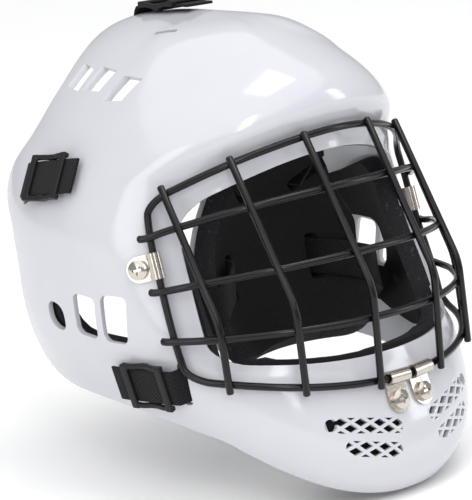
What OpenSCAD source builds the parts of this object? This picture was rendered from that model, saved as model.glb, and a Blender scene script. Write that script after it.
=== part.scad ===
// Goalie mask: a moulded bowl with a wire cage, foam lining and a sprung back plate.
// Origin at the middle of the head space, wearer faces -Y, +X is the wearer's left, +Z up.

/* [Bowl] */
// Width of the bowl over the ears
bowl_w = 226; // [190:2:260]
// Height of the bowl from chin to crown
bowl_h = 259; // [220:1:300]
// Depth of the bowl from chin to the back edge of the sides
bowl_d = 228; // [195:1:270]
// Thickness of the moulded wall
wall = 3.5; // [2.5:0.1:4.2]

/* [Cage] */
// Diameter of the cage wire
wire_d = 4; // [3:0.1:5]
// Distance from the middle to the inner upright bars
inner_bar_x = 22; // [18:1:27]
// Distance from the middle to the middle upright bars
middle_bar_x = 58.5; // [50:0.5:64]
// Distance from the middle to the outer upright bars
outer_bar_x = 84; // [76:1:86]
// How far the bars bow forward of a straight line at their bend
bar_bow = 16; // [8:1:22]

/* [Clips and screws] */
// Sheet thickness of a cage clip
clip_t = 1.2; // [0.8:0.1:1.6]
// Width of a cage clip
clip_w = 14; // [10:0.5:18]
// Diameter of the clip screws
screw_d = 5; // [4:0.5:6]
// Diameter of the screw heads
head_d = 10.5; // [9:0.5:14]

/* [Lining] */
// Thickness of the foam pads
pad_t = 11; // [6:0.5:14]
// Thickness of the back plate
plate_t = 3; // [2:0.1:4]
// Half width of the back plate at its widest
plate_half_w = 58; // [45:1:66]
// Height of the back plate
plate_h = 116; // [90:1:130]
// How far in front of the origin the back plate hangs
plate_y = -18; // [-26:1:-10]

/* [Straps] */
// Width of the elastic webbing
web_w = 20; // [20:1:30]
// Thickness of the webbing
web_t = 1.6; // [1.2:0.1:2]
// Length of a buckle along its strap
buckle_l = 30; // [26:1:38]
// Width of a buckle's side rails
buckle_rail = 3; // [2:0.25:4]

/* [Hidden] */
$fn = 32;

k_w = bowl_w / 226;
k_h = bowl_h / 259;
k_d = bowl_d / 228;
wire_r = wire_d / 2;
weld = 0.9;                        // centre distance of welded wires, in diameters
clip_clear = 0.55;                 // clip to wire
clip_lift = 0.35;                  // clip to the bowl
rim_gap = clip_t + clip_clear + clip_lift;
screw_clear = 0.2;
pad_gap = 0.8;                     // glue line between foam and bowl
plate_gap = 0.4;                   // between back plate and its foam
web_clear = 0.3;                   // webbing to the buckle's bars
shell_fn_a = 7.5;                  // degrees between mesh columns
shell_fn_t = 0.5;                  // rows between mesh rows

// ---------- the bowl's surface ----------
// Each station: height, front, back, half width, rear squareness, drop at the sides, middle,
// front squareness.
stations = [
    [-97, -120, 60, 42, 2.2, -4, -60, 2.2],
    [-88, -140, 70, 62, 2.3, -8, -60, 2.3],
    [-72, -149, 95, 80, 2.4, -12, -50, 2.4],
    [-52, -146, 115, 94, 2.4, -14, -35, 2.4],
    [-28, -138, 125, 103, 2.3, -12, -20, 2.25],
    [0, -130, 128, 109, 2.25, -4, -8, 2.05],
    [35, -116, 128, 112, 2.2, 6, -2, 1.85],
    [70, -102, 126, 113, 2.2, 16, 2, 1.78],
    [100, -92, 116, 107, 2.2, 26, 4, 1.9],
    [118, -98, 103, 97, 2.15, 26, 4, 2.1],
    [134, -88, 92, 82, 2.1, 18, 4, 2.1],
    [150, -60, 74, 60, 2.05, 10, 4, 2.05],
    [159, -34, 50, 36, 2, 4, 4, 2],
    [162, 4, 6, 1, 2, 0, 5, 2]];
top_row = len(stations) - 1;

function blend4(p0, p1, p2, p3, f) = 0.5 * (2 * p1 + (p2 - p0) * f
    + (2 * p0 - 5 * p1 + 4 * p2 - p3) * f * f + (3 * p1 - p0 - 3 * p2 + p3) * f * f * f);

function station(t) =
    let (k = max(0, min(top_row - 1, floor(t))))
    blend4(stations[max(k - 1, 0)], stations[k], stations[k + 1],
        stations[min(k + 2, top_row)], t - k);

function signed_power(v, e) = sign(v) * pow(abs(v), e);

// A point of the outer face: a is the angle round from the front, t the row.
function face(a, t) =
    let (s = station(t), q = 2 / (cos(a) > 0 ? s[7] : s[4]), c = signed_power(cos(a), q), w = signed_power(sin(a), q))
    [k_w * max(s[3], 0.5) * w,
     k_d * (c > 0 ? s[6] + (s[1] - s[6]) * c : s[6] - (s[2] - s[6]) * c),
     k_h * (s[0] - s[5] * w * w)];

function unit(v) = v / norm(v);
function along(a, t) = unit(face(a + 0.5, t) - face(a - 0.5, t));
function rising(a, t) = let (h = min(t, top_row - 0.2)) unit(face(a, h + 0.1) - face(a, h - 0.1));
function normal(a, t) = unit(cross(along(a, t), rising(a, t)));
function skin(a, t, out) = face(a, t) + normal(a, t) * out;

// Angle at which row t is x from the middle plane.
function angle_at(x, t) =
    let (s = station(t)) asin(min(1, pow(abs(x) / (k_w * s[3]), s[7] / 2))) * sign(x);

// Catmull-Rom line through points, n steps to a span.
function smooth_line(p, n, closed = false) =
    let (m = len(p), spans = closed ? m : m - 1)
    [for (i = [0 : spans - 1], j = [0 : n - 1])
        blend4(closed ? p[(i + m - 1) % m] : p[max(i - 1, 0)], p[i], p[(i + 1) % m],
            closed ? p[(i + 2) % m] : p[min(i + 2, m - 1)], j / n),
     if (!closed) p[m - 1]];

// A rounded rectangle of [angle, row] pairs, n steps along each side and round each corner.
function patch(a0, a1, t0, t1, ra, rt, n = 6) = [
    for (k = [0 : 3]) let (
        ca = (k == 0 || k == 3) ? a1 - ra : a0 + ra,
        ct = k < 2 ? t1 - rt : t0 + rt)
    each [for (j = [0 : n]) [ca + ra * cos(90 * k + 90 * j / n), ct + rt * sin(90 * k + 90 * j / n)]],
];

// The same outline with points added along its long straight sides.
function fill(outline, step_a, step_t) = [
    for (i = [0 : len(outline) - 1]) let (
        p = outline[i], q = outline[(i + 1) % len(outline)],
        m = max(1, ceil(max(abs(q[0] - p[0]) / step_a, abs(q[1] - p[1]) / step_t))))
    each [for (j = [0 : m - 1]) p + (q - p) * j / m]];

function mean(p) = [for (k = [0, 1]) (max([for (v = p) v[k]]) + min([for (v = p) v[k]])) / 2];

// A slab that follows the bowl between two depths, inside an outline of [angle, row] pairs.
module skin_slab(outline, low, high, rings = 5) {
    n = len(outline);
    c = mean(outline);
    layers = [high, low];
    points = [for (d = layers, r = [1 : rings], p = outline)
            let (q = c + (p - c) * r / rings) skin(q[0], q[1], d),
        for (d = layers) skin(c[0], c[1], d)];
    side = rings * n;
    faces = concat(
        [for (r = [0 : rings - 2], i = [0 : n - 1]) let (j = (i + 1) % n)
            each [[r * n + i, r * n + j, (r + 1) * n + j], [r * n + i, (r + 1) * n + j, (r + 1) * n + i]]],
        [for (r = [0 : rings - 2], i = [0 : n - 1]) let (j = (i + 1) % n, s = side)
            each [[s + r * n + i, s + (r + 1) * n + j, s + r * n + j],
                [s + r * n + i, s + (r + 1) * n + i, s + (r + 1) * n + j]]],
        [for (i = [0 : n - 1]) let (j = (i + 1) % n) [2 * side, j, i]],
        [for (i = [0 : n - 1]) let (j = (i + 1) % n) [2 * side + 1, side + i, side + j]],
        [for (i = [0 : n - 1]) let (j = (i + 1) % n, e = (rings - 1) * n)
            each [[e + i, e + j, side + e + j], [e + i, side + e + j, side + e + i]]]);
    polyhedron(points, faces, convexity = 6);
}

// Places children on the bowl: x runs round to the wearer's left, z stands out of the bowl.
module at_skin(a, t, spin = 0, out = 0) {
    x = along(a, t);
    z = normal(a, t);
    y = cross(z, x);
    p = skin(a, t, out);
    multmatrix([[x[0], y[0], z[0], p[0]], [x[1], y[1], z[1], p[1]], [x[2], y[2], z[2], p[2]], [0, 0, 0, 1]])
        rotate([0, 0, spin]) children();
}

// The same placing for a single point.
function on_skin(a, t, spin, p) =
    let (x = along(a, t), z = normal(a, t), y = cross(z, x),
        u = p[0] * cos(spin) - p[1] * sin(spin), v = p[0] * sin(spin) + p[1] * cos(spin))
    face(a, t) + x * u + y * v + z * p[2];
function across_skin(a, t, spin) = on_skin(a, t, spin, [0, 1, 0]) - face(a, t);

// The whole bowl as a closed solid, grown or shrunk along its normals.
module bowl(out) {
    cols = 360 / shell_fn_a;
    rows = floor((top_row - 0.2) / shell_fn_t);
    points = [for (i = [0 : rows], k = [0 : cols - 1]) skin(k * shell_fn_a - 180, i * shell_fn_t, out),
        face(0, top_row) + [0, 0, out]];
    faces = concat(
        [for (i = [0 : rows - 1], k = [0 : cols - 1]) let (j = (k + 1) % cols)
            each [[i * cols + k, (i + 1) * cols + k, (i + 1) * cols + j],
                [i * cols + k, (i + 1) * cols + j, i * cols + j]]],
        [[for (k = [0 : cols - 1]) k]],
        [for (k = [0 : cols - 1]) [rows * cols + k, len(points) - 1, rows * cols + (k + 1) % cols]]);
    polyhedron(points, faces, convexity = 10);
}

// Side view of the part of the bowl that is kept: [forward-back, height] round the edge.
edge_line = [
    [-175, -97], [-140, -85], [-111, -67], [-95, -57], [-80, -50], [-35, -43], [0, -41], [38, -40],
    [56, -33], [63, -18], [60, 4], [58, 40], [60, 53], [68, 61], [77, 70], [77, 79],
    [63, 100], [54, 122], [55, 140], [62, 156], [64, 175]];

module kept_side_view() {
    rotate([90, 0, 90]) linear_extrude(height = 2 * bowl_w, center = true, convexity = 4)
        polygon([for (p = concat(smooth_line(edge_line, 4), [[-175, 175]])) [k_d * p[0], k_h * p[1]]]);
}

// ---------- places shared by several pieces ----------
open_a = 56.5;
open_t = [4.62, 7.73];
rim_a = 64;
rim_t = [4.12, 8.24];
side_pull = 0.103;                 // share by which the frame narrows from its bottom to its top
brow_dip = 0.62;                   // rows by which its top falls towards the corners
side_clip_t = 6.34;
side_screw_a = 63.6;
chin_screw_a = 3.6;
chin_screw_t = 3.66;
ear_vent_holes = [[98.7, 5.13, 15.5, 16.5, -6], [88.4, 5.3, 17, 24, -4], [77.8, 5.33, 17, 26, 0]];
crown_vent_holes = [[110.1, 10.53, -1, 0], [95.6, 10.62, 4, 0], [80, 10.47, 7.5, -6]];
strap_lift = 3;                    // webbing under a buckle to the bowl
buckle_play = 3;                   // how far a buckle slides along its strap
slot_reach = buckle_l / 2 + 8;     // buckle's middle to the slot its strap comes out of
slot_clear = 1.7;                  // webbing to the slot's long edges

// Strap places: [angle, row, spin of the strap's run towards its slot].
top_place = [180, 12.42, -90];
upper_place = [-97.5, 8.4, 194];
lower_place = [-79.7, 3.76, 6];

// The opening and the rim share one shape: narrower at the top, and lower at its top corners.
function shaped(p) = let (u = (p[1] - rim_t[0]) / (rim_t[1] - rim_t[0]))
    [p[0] * (1 - side_pull * (1 - pow(1 - u, 2))), p[1] - brow_dip * pow(p[0] / rim_a, 2) * u];
function shaped_all(outline) = [for (p = outline) shaped(p)];
// Angle of the rim's side at row t.
function rim_side(t) = let (u = (t - rim_t[0]) / (rim_t[1] - rim_t[0] - brow_dip))
    rim_a * (1 - side_pull * (1 - pow(1 - u, 2)));

// ---------- bowl ----------
module chin_vent(a, t, spin, len) {
    pitch = 6.4;
    at_skin(a, t, spin) translate([0, 0, -8]) linear_extrude(height = 16) intersection() {
        union() {
            square([len - 8, 8], center = true);
            for (s = [-1, 1]) translate([s * (len / 2 - 4), 0]) circle(d = 8, $fn = 20);
        }
        for (i = [-4 : 4], j = [-1 : 1])
            translate([i * pitch + (j % 2 == 0 ? 0 : pitch / 2), j * 4.1]) rotate(45) square(3.9, center = true);
    }
}

module side_cuts() {
    for (v = ear_vent_holes)
        at_skin(-v[0], v[1], v[4]) translate([0, 0, -12]) linear_extrude(height = 24)
            union() {
                square([v[2] - 6, v[3]], center = true);
                square([v[2], v[3] - 6], center = true);
                for (i = [-1, 1], j = [-1, 1])
                    translate([i * (v[2] / 2 - 3), j * (v[3] / 2 - 3)]) circle(r = 3, $fn = 16);
            }
    for (v = crown_vent_holes)
        at_skin(-v[0], v[1], v[3]) translate([0, 0, -12]) linear_extrude(height = 24)
            polygon([[-4.5 - v[2] / 2, -7.5], [4.5 - v[2] / 2, -7.5], [4.5 + v[2] / 2, 7.5], [-4.5 + v[2] / 2, 7.5]]);
    at_skin(-75.9, 11.92, 5) cube([15, 4, 24], center = true);
    chin_vent(-14.8, 3.25, -6.4, 42);
    chin_vent(-15.9, 2.67, -7.5, 34);
}

module shell() color("white") difference() {
    resize([0, 0, 0]) difference() {
        bowl(0);
        bowl(-wall);
        difference() {
            cube(3 * bowl_h, center = true);
            kept_side_view();
        }
        skin_slab(shaped_all(fill(patch(-open_a, open_a, open_t[0], open_t[1], 11, 0.5), 8, 0.5)), -20, 20, 6);
        for (s = [0, 1]) mirror([s, 0, 0]) {
            side_cuts();
            strap_slot(upper_run);
            strap_slot(lower_run);
        }
        strap_slot(top_run);
    }
    clip_places() translate([0, 0, -15]) cylinder(d = screw_d + 2 * screw_clear, h = 30);
}

// ---------- cage ----------
module tube(path, r, closed = false, sides = 8) {
    n = len(path);
    function dir(i) = unit(closed ? path[(i + 1) % n] - path[(i + n - 1) % n]
        : path[min(i + 1, n - 1)] - path[max(i - 1, 0)]);
    function ring(i) = let (d = dir(i), u = unit(cross(d, abs(d[2]) > 0.9 ? [0, 1, 0] : [0, 0, 1])), v = cross(d, u))
        [for (k = [0 : sides - 1]) path[i] + r * (u * cos(360 * k / sides) + v * sin(360 * k / sides))];
    points = [for (i = [0 : n - 1]) each ring(i)];
    spans = closed ? n : n - 1;
    polyhedron(points, concat(
        [for (i = [0 : spans - 1], k = [0 : sides - 1])
            let (j = (k + 1) % sides, a = i * sides, b = ((i + 1) % n) * sides)
            each [[a + k, b + k, b + j], [a + k, b + j, a + j]]],
        closed ? [] : [[for (k = [0 : sides - 1]) k], [for (k = [sides - 1 : -1 : 0]) (n - 1) * sides + k]]),
        convexity = 8);
}

module rod(p, q) {
    d = q - p;
    translate(p) rotate([0, acos(d[2] / norm(d)), atan2(d[1], d[0])]) cylinder(r = wire_r, h = norm(d));
}

rim_out = rim_gap + wire_r;
bar_out = rim_out + weld * wire_d;
bar_foot = 4;                      // bar past the rim
bend_share = 0.6;                  // where the bend is, from the top
bend_fall = 0.07;                  // how much lower it is on the outer bars
bow_fall = 7;                      // how much flatter the outer bars are
function out_share(x) = pow(x / (outer_bar_x * k_w), 2);
function bar_top(x) = let (a = angle_at(x, rim_t[1] - brow_dip / 2))
    skin(a, rim_t[1] - brow_dip * pow(a / (rim_a * (1 - side_pull)), 2), bar_out);
function bar_low(x) = skin(angle_at(x, rim_t[0]), rim_t[0], bar_out);
function bar_bend(x) = let (f = bend_share + bend_fall * out_share(x))
    bar_top(x) * (1 - f) + bar_low(x) * f - [0, (bar_bow - bow_fall * out_share(x)) * k_d, 0];
function bar_upper(x, f) = bar_top(x) * (1 - f) + bar_bend(x) * f;
function bar_lower(x, f) = bar_bend(x) * (1 - f) + bar_low(x) * f;

module cage_rim() color("black")
    tube([for (p = shaped_all(fill(patch(-rim_a, rim_a, rim_t[0], rim_t[1], 7, 0.35, 4), 7, 0.5))) skin(p[0], p[1], rim_out)],
        wire_r, closed = true);

module cage_bar(x) color("black") {
    top = bar_top(x);
    bend = bar_bend(x);
    low = bar_low(x);
    rod(top + unit(top - bend) * bar_foot, bend);
    translate(bend) sphere(r = wire_r + 0.05);
    rod(bend, low + unit(low - bend) * bar_foot);
}

cross_step = [0, weld * wire_d, 0];
bars_x = [-outer_bar_x, -middle_bar_x, -inner_bar_x, inner_bar_x, middle_bar_x, outer_bar_x];
module cross_wire(crossings, t) color("black") {
    ends = [for (s = [-1, 1]) skin(s * rim_side(t), t, bar_out)];
    tails = [for (s = [-1, 1]) skin(s * (rim_side(t) + 2.5), t, bar_out - 0.4)];
    tube(smooth_line(concat([tails[0], ends[0]], crossings, [ends[1], tails[1]]), 4), wire_r);
}
module cage_cross_wire_upper()
    cross_wire([for (x = bars_x) bar_upper(x * k_w, 0.34 - 0.07 * out_share(x * k_w)) + cross_step], 6.9);
module cage_cross_wire_middle()
    cross_wire([for (x = bars_x) bar_upper(x * k_w, 0.77 - 0.06 * out_share(x * k_w)) + cross_step], 5.93);
module cage_cross_wire_lower()
    cross_wire([for (x = bars_x) bar_lower(x * k_w, 0.33 - 0.06 * out_share(x * k_w)) + cross_step], 5.04);

module cage_bar_right_outer() cage_bar(-outer_bar_x * k_w);
module cage_bar_right_middle() cage_bar(-middle_bar_x * k_w);
module cage_bar_right_inner() cage_bar(-inner_bar_x * k_w);
module cage_bar_left_inner() cage_bar(inner_bar_x * k_w);
module cage_bar_left_middle() cage_bar(middle_bar_x * k_w);
module cage_bar_left_outer() cage_bar(outer_bar_x * k_w);

// ---------- clips, screws and nuts ----------
// Children are drawn at each screw with x towards the rim wire.
module clip_place(kind, side) mirror([side > 0 ? 1 : 0, 0, 0]) {
    if (kind == "side") at_skin(-side_screw_a, side_clip_t, side_turn) children();
    else at_skin(-chin_screw_a, chin_screw_t, 90) children();
}
module clip_places() for (kind = ["side", "chin"], side = [-1, 1]) clip_place(kind, side) children();

// Where a rim point lies in a screw's own frame: [towards the rim, out of the bowl].
function seat(a, t, spin, p) = let (x = along(a, t), z = normal(a, t), d = p - face(a, t))
    [d * (x * cos(spin) + cross(z, x) * sin(spin)), d * z];
function rim_at(t) = skin(-rim_side(t), t, rim_out);
side_wire = unit(rim_at(side_clip_t + 0.1) - rim_at(side_clip_t - 0.1));
side_frame = along(-side_screw_a, side_clip_t);
side_turn = -atan2(side_wire * side_frame,
    side_wire * cross(normal(-side_screw_a, side_clip_t), side_frame));
side_seat = seat(-side_screw_a, side_clip_t, side_turn, rim_at(side_clip_t));
chin_seat = seat(-chin_screw_a, chin_screw_t, 90, skin(-chin_screw_a, rim_t[0], rim_out));

module clip(seat) color("silver") {
    loop_r = wire_r + clip_clear;
    low = seat[1] - loop_r - clip_t;
    difference() {
        union() {
            translate([0, 0, clip_lift]) cylinder(d = clip_w, h = clip_t);
            rotate([90, 0, 0]) linear_extrude(height = clip_w, center = true)
                polygon([[0, clip_lift], [head_d / 2, clip_lift], [seat[0], low], [seat[0], low + clip_t],
                    [head_d / 2, clip_lift + clip_t], [0, clip_lift + clip_t]]);
            translate([seat[0], 0, seat[1]]) rotate([90, 0, 0])
                cylinder(r = loop_r + clip_t, h = clip_w, center = true);
        }
        translate([seat[0], 0, seat[1]]) rotate([90, 0, 0]) cylinder(r = loop_r, h = clip_w + 2, center = true);
        cylinder(d = screw_d + 2 * screw_clear, h = 6, center = true);
    }
}
module side_clip_right() clip_place("side", -1) clip(side_seat);
module side_clip_left() clip_place("side", 1) clip(side_seat);
module chin_clip_right() clip_place("chin", -1) clip(chin_seat);
module chin_clip_left() clip_place("chin", 1) clip(chin_seat);

head_h = 3.4;
nut_h = 4;
nut_d = 1.8 * screw_d;
module clip_screws() color("silver") clip_places() {
    translate([0, 0, -wall - nut_h - 1.5])
        cylinder(d = screw_d, h = wall + nut_h + 1.5 + clip_lift + clip_t + 0.5);
    translate([0, 0, clip_lift + clip_t + 0.05]) difference() {
        intersection() {
            cylinder(d = head_d, h = head_h);
            translate([0, 0, head_h - head_d]) sphere(r = head_d);
        }
        for (q = [0, 90]) rotate([0, 0, q]) translate([0, 0, head_h]) cube([0.5 * head_d, 1.3, 3], center = true);
    }
}
module clip_nuts() color("silver") clip_places()
    translate([0, 0, -wall - nut_h - 0.6]) difference() {
        cylinder(d = nut_d, h = nut_h, $fn = 6);
        translate([0, 0, -1]) cylinder(d = screw_d + 0.1, h = nut_h + 2);
    }

// ---------- lining ----------
pad_out = -wall - pad_gap;
module nut_pockets() clip_places() translate([0, 0, -wall - 8]) cylinder(d = nut_d + 2, h = 9);

module forehead_pad() color("dimgray")
    skin_slab(fill(patch(-40, 40, 8.15, 9.75, 6, 0.4, 3), 10, 0.6), pad_out - pad_t, pad_out, 4);

// A cap over the crown between two depths, from row t0 up.
module crown_cap(t0, low, high, cols = 24, rows = 4) {
    step = (top_row - 0.3 - t0) / rows;
    points = [for (d = [low, high], i = [0 : rows], k = [0 : cols - 1]) skin(360 * k / cols, t0 + i * step, d),
        for (d = [low, high]) face(0, top_row) + [0, 0, d]];
    side = (rows + 1) * cols;
    faces = concat(
        [for (i = [0 : rows - 1], k = [0 : cols - 1]) let (j = (k + 1) % cols, p = i * cols, q = p + cols)
            each [[p + k, p + j, q + j], [p + k, q + j, q + k],
                [side + p + k, side + q + j, side + p + j], [side + p + k, side + q + k, side + q + j]]],
        [for (k = [0 : cols - 1]) let (j = (k + 1) % cols, e = rows * cols)
            each [[e + k, e + j, 2 * side], [side + e + j, side + e + k, 2 * side + 1],
                [k, side + j, j], [k, side + k, side + j]]]);
    polyhedron(points, faces, convexity = 6);
}
module crown_pad() color("dimgray") crown_cap(11.95, pad_out - pad_t, pad_out);

side_outline = [[-52.5, 6.7], [-62, 7.3], [-74, 7.4], [-88, 7.1], [-99, 6.6], [-106, 6.05], [-109, 5.4],
    [-105, 4.8], [-98, 4.4], [-89, 3.95], [-78, 3.55], [-66, 3.6], [-57, 4.2], [-53.6, 4.85], [-52, 5.7]];
ear_hole_a = -87;
ear_hole_t = 5.28;
ear_hole_w = 33;
ear_hole_l = 66;
module side_pad() color("dimgray") difference() {
    skin_slab(smooth_line(side_outline, 3, true), pad_out - pad_t, pad_out, 4);
    nut_pockets();
    at_skin(ear_hole_a, ear_hole_t) {
        for (s = [-1, 1]) translate([s * (ear_hole_l - ear_hole_w) / 2, 0, 0])
            cylinder(d = ear_hole_w, h = 60, center = true);
        cube([ear_hole_l - ear_hole_w, ear_hole_w, 60], center = true);
    }
}
module side_pad_right() side_pad();
module side_pad_left() mirror([1, 0, 0]) side_pad();

module chin_pad() color("dimgray") difference() {
    skin_slab(fill(patch(-50.5, 50.5, 2.3, 4.72, 8, 0.4, 3), 8, 0.6), pad_out - pad_t, pad_out, 4);
    nut_pockets();
}

// ---------- back plate ----------
plate_r = 95;
plate_z = 35;
lower_slot = [32, 20];
upper_slot = [27, 70];
upper_slot_tilt = 50;
top_slot_z = 84;
module plate_outline(inset) rotate([90, 0, 0]) linear_extrude(height = 140, center = true) hull() {
    for (s = [-1, 1]) {
        translate([s * (plate_half_w - 26), plate_z - plate_h / 2 + 26]) circle(26 - inset);
        translate([s * (plate_half_w - 20), plate_z]) circle(20 - inset);
        translate([s * (plate_half_w - 40), plate_z + plate_h / 2 - 18]) circle(18 - inset);
    }
}
module plate_slots(grow) {
    translate([0, plate_y, top_slot_z]) cube([web_w + 3 + grow, 90, 4.5 + grow], center = true);
    for (s = [-1, 1]) {
        translate([s * lower_slot[0], plate_y, lower_slot[1]]) cube([4.5 + grow, 90, web_w + 3 + grow], center = true);
        translate([s * upper_slot[0], plate_y, upper_slot[1]]) rotate([0, s * upper_slot_tilt, 0])
            cube([4.5 + grow, 90, web_w + 3 + grow], center = true);
    }
}
module cup(low, high) translate([0, plate_y - plate_r, plate_z]) difference() {
    sphere(r = high, $fn = 64);
    sphere(r = low, $fn = 64);
}
module back_plate() color("white") intersection() {
    difference() {
        cup(plate_r - plate_t, plate_r);
        plate_slots(0);
    }
    translate([0, 20, 0]) plate_outline(0);
}
module back_pad() color("dimgray") intersection() {
    difference() {
        cup(plate_r - plate_t - plate_gap - pad_t, plate_r - plate_t - plate_gap);
        plate_slots(3);
    }
    translate([0, 20, 0]) plate_outline(4);
}

// ---------- straps ----------
// A flat band through stations of [point, direction across its width].
module ribbon(stops, w = web_w, h = web_t) {
    n = len(stops);
    pts = [for (v = stops) v[0]];
    across = [for (v = stops) unit(v[1])];
    corners = [for (i = [0 : n - 1])
        let (d = unit(pts[min(i + 1, n - 1)] - pts[max(i - 1, 0)]),
            u = unit(across[i] - d * (across[i] * d)), v = cross(d, u))
        for (c = [[1, 1], [-1, 1], [-1, -1], [1, -1]]) pts[i] + u * c[0] * w / 2 + v * c[1] * h / 2];
    polyhedron(corners, concat([[0, 1, 2, 3]],
        [for (i = [0 : n - 2], k = [0 : 3]) let (j = (k + 1) % 4, a = 4 * i)
            each [[a + k, a + 4 + k, a + 4 + j], [a + k, a + 4 + j, a + j]]],
        [[for (k = [3 : -1 : 0]) 4 * (n - 1) + k]]), convexity = 8);
}

tail = buckle_l / 2 + 9;
flat = buckle_l / 2 + buckle_play + 0.5;
// The part of a strap that lies outside the bowl, from its tail to its slot.
function outer_run(place, dips) = [for (p = concat(
        [[-tail, strap_lift - 0.3], [-flat, strap_lift], [0, strap_lift], [flat, strap_lift]], dips))
    [on_skin(place[0], place[1], place[2], [p[0], 0, p[1]]), across_skin(place[0], place[1], place[2])]];

// Stops of a strap's run made into a smooth line, 3 steps to a span.
function smooth_run(run) =
    let (pts = smooth_line([for (v = run) v[0]], 3), dirs = smooth_line([for (v = run) v[1]], 3))
    [for (i = [0 : len(pts) - 1]) [pts[i], dirs[i]]];
module strap(run) color("black") ribbon(smooth_run(run));
// The slot a strap leaves the bowl by: a straight cut along the strap's dip, wider and thicker.
module strap_slot(run) {
    dip = unit(run[5][0] - run[4][0]) * 6;
    ribbon([[run[4][0] - dip, run[4][1]], [run[5][0] + dip, run[5][1]]], web_w + 3, web_t + 2 * slot_clear);
}

// Front to back place of the back plate's cup at x, z.
function cup_y(x, z, r) = plate_y - plate_r + sqrt(r * r - x * x - pow(z - plate_z, 2));

top_y = cup_y(0, top_slot_z, plate_r);
top_run = concat(outer_run(top_place, [[slot_reach - 1, 0.5], [slot_reach, -8]]),
    [for (p = [[53 * k_d, 147 * k_h], [34 * k_d, 126 * k_h], [-8 * k_d, 102], [top_y + 3, top_slot_z],
        [top_y - 16, top_slot_z]]) [[0, p[0], p[1]], [-1, 0, 0]]]);
module top_strap() strap(top_run);

upper_lean = [sin(upper_slot_tilt), 0, -cos(upper_slot_tilt)];
upper_y = cup_y(upper_slot[0], upper_slot[1], plate_r);
upper_run = concat(outer_run(upper_place, [[slot_reach, 0.5], [slot_reach + 1.5, -9]]),
    [[on_skin(upper_place[0], upper_place[1], upper_place[2], [slot_reach - 2, 0, -16]),
        across_skin(upper_place[0], upper_place[1], upper_place[2])],
     [[-72 * k_w, 24 * k_d, 76 * k_h], [0.4, -0.3, -1]],
     [[-46 * k_w, 0, 73 * k_h], [0.4, -0.3, -1]],
     [[-upper_slot[0], upper_y + 5, upper_slot[1]], upper_lean],
     [[-upper_slot[0], upper_y - 16, upper_slot[1]], upper_lean]]);
module upper_strap_right() strap(upper_run);
module upper_strap_left() mirror([1, 0, 0]) upper_strap_right();

lower_y = cup_y(lower_slot[0], lower_slot[1], plate_r);
lower_run = concat(outer_run(lower_place, [[slot_reach - 1, 0.5], [slot_reach, -8]]),
    [[[-86 * k_w, -60 * k_d, -13 * k_h], [0, 0.2, 1]], [[-89 * k_w, -45 * k_d, -9 * k_h], [0, 0.2, 1]],
     [[-85 * k_w, -37 * k_d, -6 * k_h], [0, 0.1, 1]], [[-74 * k_w, -50 * k_d, 4 * k_h], [0.2, 0, 1]],
     [[-lower_slot[0] - 24, lower_y - 35, lower_slot[1] - 6], [0.1, 0, 1]],
     [[-lower_slot[0] - 8, lower_y - 26, lower_slot[1] - 1], [0, 0, 1]],
     [[-lower_slot[0], lower_y - 17, lower_slot[1]], [0, 0, 1]],
     [[-lower_slot[0], lower_y - 5, lower_slot[1]], [0, 0, 1]],
     [[-lower_slot[0], lower_y + 6, lower_slot[1]], [0, 0, 1]]]);
module lower_strap_right() strap(lower_run);
module lower_strap_left() mirror([1, 0, 0]) lower_strap_right();

// ---------- buckles ----------
bar_under = 1.5;                   // centre bar below the webbing
bar_over = 2.2;                    // end bars above the webbing
module buckle(place) color("dimgray") at_skin(place[0], place[1], place[2]) {
    under = strap_lift - web_t / 2 - web_clear;
    over = strap_lift + web_t / 2 + web_clear;
    rail_y = web_w / 2 + web_clear + buckle_rail / 2;
    for (s = [-1, 1]) {
        translate([0, s * rail_y, (under - bar_under + over + bar_over) / 2])
            cube([buckle_l, buckle_rail, over - under + bar_over + bar_under], center = true);
        translate([s * (buckle_l / 2 - 2.5), 0, over + bar_over / 2])
            cube([5, 2 * rail_y, bar_over], center = true);
    }
    translate([0, 0, under - bar_under / 2]) cube([5, 2 * rail_y, bar_under], center = true);
}
module top_buckle() buckle(top_place);
module upper_buckle_right() buckle(upper_place);
module upper_buckle_left() mirror([1, 0, 0]) buckle(upper_place);
module lower_buckle_right() buckle(lower_place);
module lower_buckle_left() mirror([1, 0, 0]) buckle(lower_place);

shell();
cage_rim();
cage_bar_right_outer();
cage_bar_right_middle();
cage_bar_right_inner();
cage_bar_left_inner();
cage_bar_left_middle();
cage_bar_left_outer();
cage_cross_wire_upper();
cage_cross_wire_middle();
cage_cross_wire_lower();
side_clip_right();
side_clip_left();
chin_clip_right();
chin_clip_left();
clip_screws();
clip_nuts();
forehead_pad();
crown_pad();
side_pad_right();
side_pad_left();
chin_pad();
back_plate();
back_pad();
top_strap();
upper_strap_right();
upper_strap_left();
lower_strap_right();
lower_strap_left();
top_buckle();
upper_buckle_right();
upper_buckle_left();
lower_buckle_right();
lower_buckle_left();
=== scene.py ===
import math

import bpy
from mathutils import Matrix, Vector


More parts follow.
